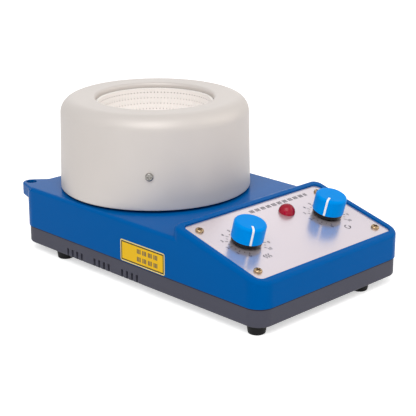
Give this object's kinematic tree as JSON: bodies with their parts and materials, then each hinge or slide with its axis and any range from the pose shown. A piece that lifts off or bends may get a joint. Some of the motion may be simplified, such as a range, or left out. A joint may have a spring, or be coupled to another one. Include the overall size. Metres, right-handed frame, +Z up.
{
  "type": "heating mantle",
  "caption": "Laboratory heating mantle with a fabric bowl for a round flask, a magnetic stirrer under it and a sloped panel with heat and speed dials.",
  "frame": {"origin": "on the bench surface, under the middle of the overall box", "axes": "+Z up, -Y towards the sloped control panel, +X to the user's right"},
  "size_m": [0.1512, 0.261, 0.1212],
  "materials": {
    "blue_shell": "glossy moulded",
    "grey_shell": "fine textured moulded",
    "steel_screws": "bright zinc plated",
    "brass_screws": "polished",
    "vinyl_label": "printed yellow vinyl",
    "pot_metal": "spun, satin coated",
    "zinc_steel": "zinc plated sheet",
    "glass_cloth": "knitted glass fibre",
    "felt": "needled ceramic felt",
    "sleeving": "braided glass sleeving",
    "ceramic": "unglazed",
    "motor_steel": "plated steel can",
    "shaft_steel": "ground",
    "magnet_nickel": "nickel plated",
    "panel_metal": "brushed, clear anodised",
    "red_lens": "clear red moulded",
    "black_plastic": "moulded",
    "inlet_brass": "plated",
    "board_green": "solder resist on glass epoxy",
    "sink_metal": "extruded",
    "core_steel": "varnished laminations",
    "capacitor_sleeve": "sleeved can",
    "fuse_glass": "clear",
    "foot_rubber": "moulded",
    "dial_metal": "plated",
    "knob_blue": "satin moulded",
    "pointer_white": "moulded"
  },
  "bodies": {
    "base": {"upper_housing": "blue_shell", "lower_tray": "grey_shell", "case_screws": "steel_screws", "foot_screws": "steel_screws", "side_label": "vinyl_label", "pot_shell": "pot_metal", "pot_base_plate": "zinc_steel", "pot_screws": "steel_screws", "pot_screw_nuts": "steel_screws", "base_spacers": "zinc_steel", "base_bolts": "steel_screws", "base_nuts": "steel_screws", "heating_bowl": "glass_cloth", "insulation": "felt", "heater_leads": "sleeving", "lead_bush": "ceramic", "terminal_block": "ceramic", "stir_motor": "motor_steel", "motor_bracket": "zinc_steel", "motor_screws": "steel_screws", "bracket_screws": "steel_screws", "control_panel": "panel_metal", "panel_screws": "brass_screws", "indicator_lens": "red_lens", "indicator_body": "black_plastic", "indicator_nut": "zinc_steel", "power_inlet": "black_plastic", "inlet_pins": "inlet_brass", "inlet_screws": "steel_screws", "circuit_board": "board_green", "board_screws": "steel_screws", "heat_sink": "sink_metal", "triac": "black_plastic", "transformer": "core_steel", "capacitor": "capacitor_sleeve", "glass_fuse": "fuse_glass", "fuse_clips": "inlet_brass", "foot_front_left": "foot_rubber", "foot_front_right": "foot_rubber", "foot_rear_left": "foot_rubber", "foot_rear_right": "foot_rubber", "heat_potentiometer": "dial_metal", "heat_dial_nut": "zinc_steel", "speed_potentiometer": "dial_metal", "speed_dial_nut": "zinc_steel"},
    "heat_knob": {"heat_dial_shaft": "shaft_steel", "heat_knob_bush": "inlet_brass", "heat_knob_skirt": "black_plastic", "heat_knob_cap": "knob_blue", "heat_knob_pointer": "pointer_white"},
    "speed_knob": {"speed_dial_shaft": "shaft_steel", "speed_knob_bush": "inlet_brass", "speed_knob_skirt": "black_plastic", "speed_knob_cap": "knob_blue", "speed_knob_pointer": "pointer_white"},
    "stir_rotor": {"motor_shaft": "shaft_steel", "magnet_carrier": "zinc_steel", "stirring_magnets": "magnet_nickel"}
  },
  "joints": [
    {"name": "heat_knob_turn", "type": "hinge", "parent": "base", "child": "heat_knob", "pos_m": [-0.04245, -0.08647, 0.04825], "axis": [0, 0.2554, -0.9668], "range_deg": [0, 290]},
    {"name": "speed_knob_turn", "type": "hinge", "parent": "base", "child": "speed_knob", "pos_m": [0.04245, -0.08647, 0.04825], "axis": [0, 0.2554, -0.9668], "range_deg": [-30, 260]},
    {"name": "stirrer_spin", "type": "hinge", "parent": "base", "child": "stir_rotor", "pos_m": [0, 0.0502, 0.0563], "axis": [0, 0, 1], "continuous": true}
  ]
}
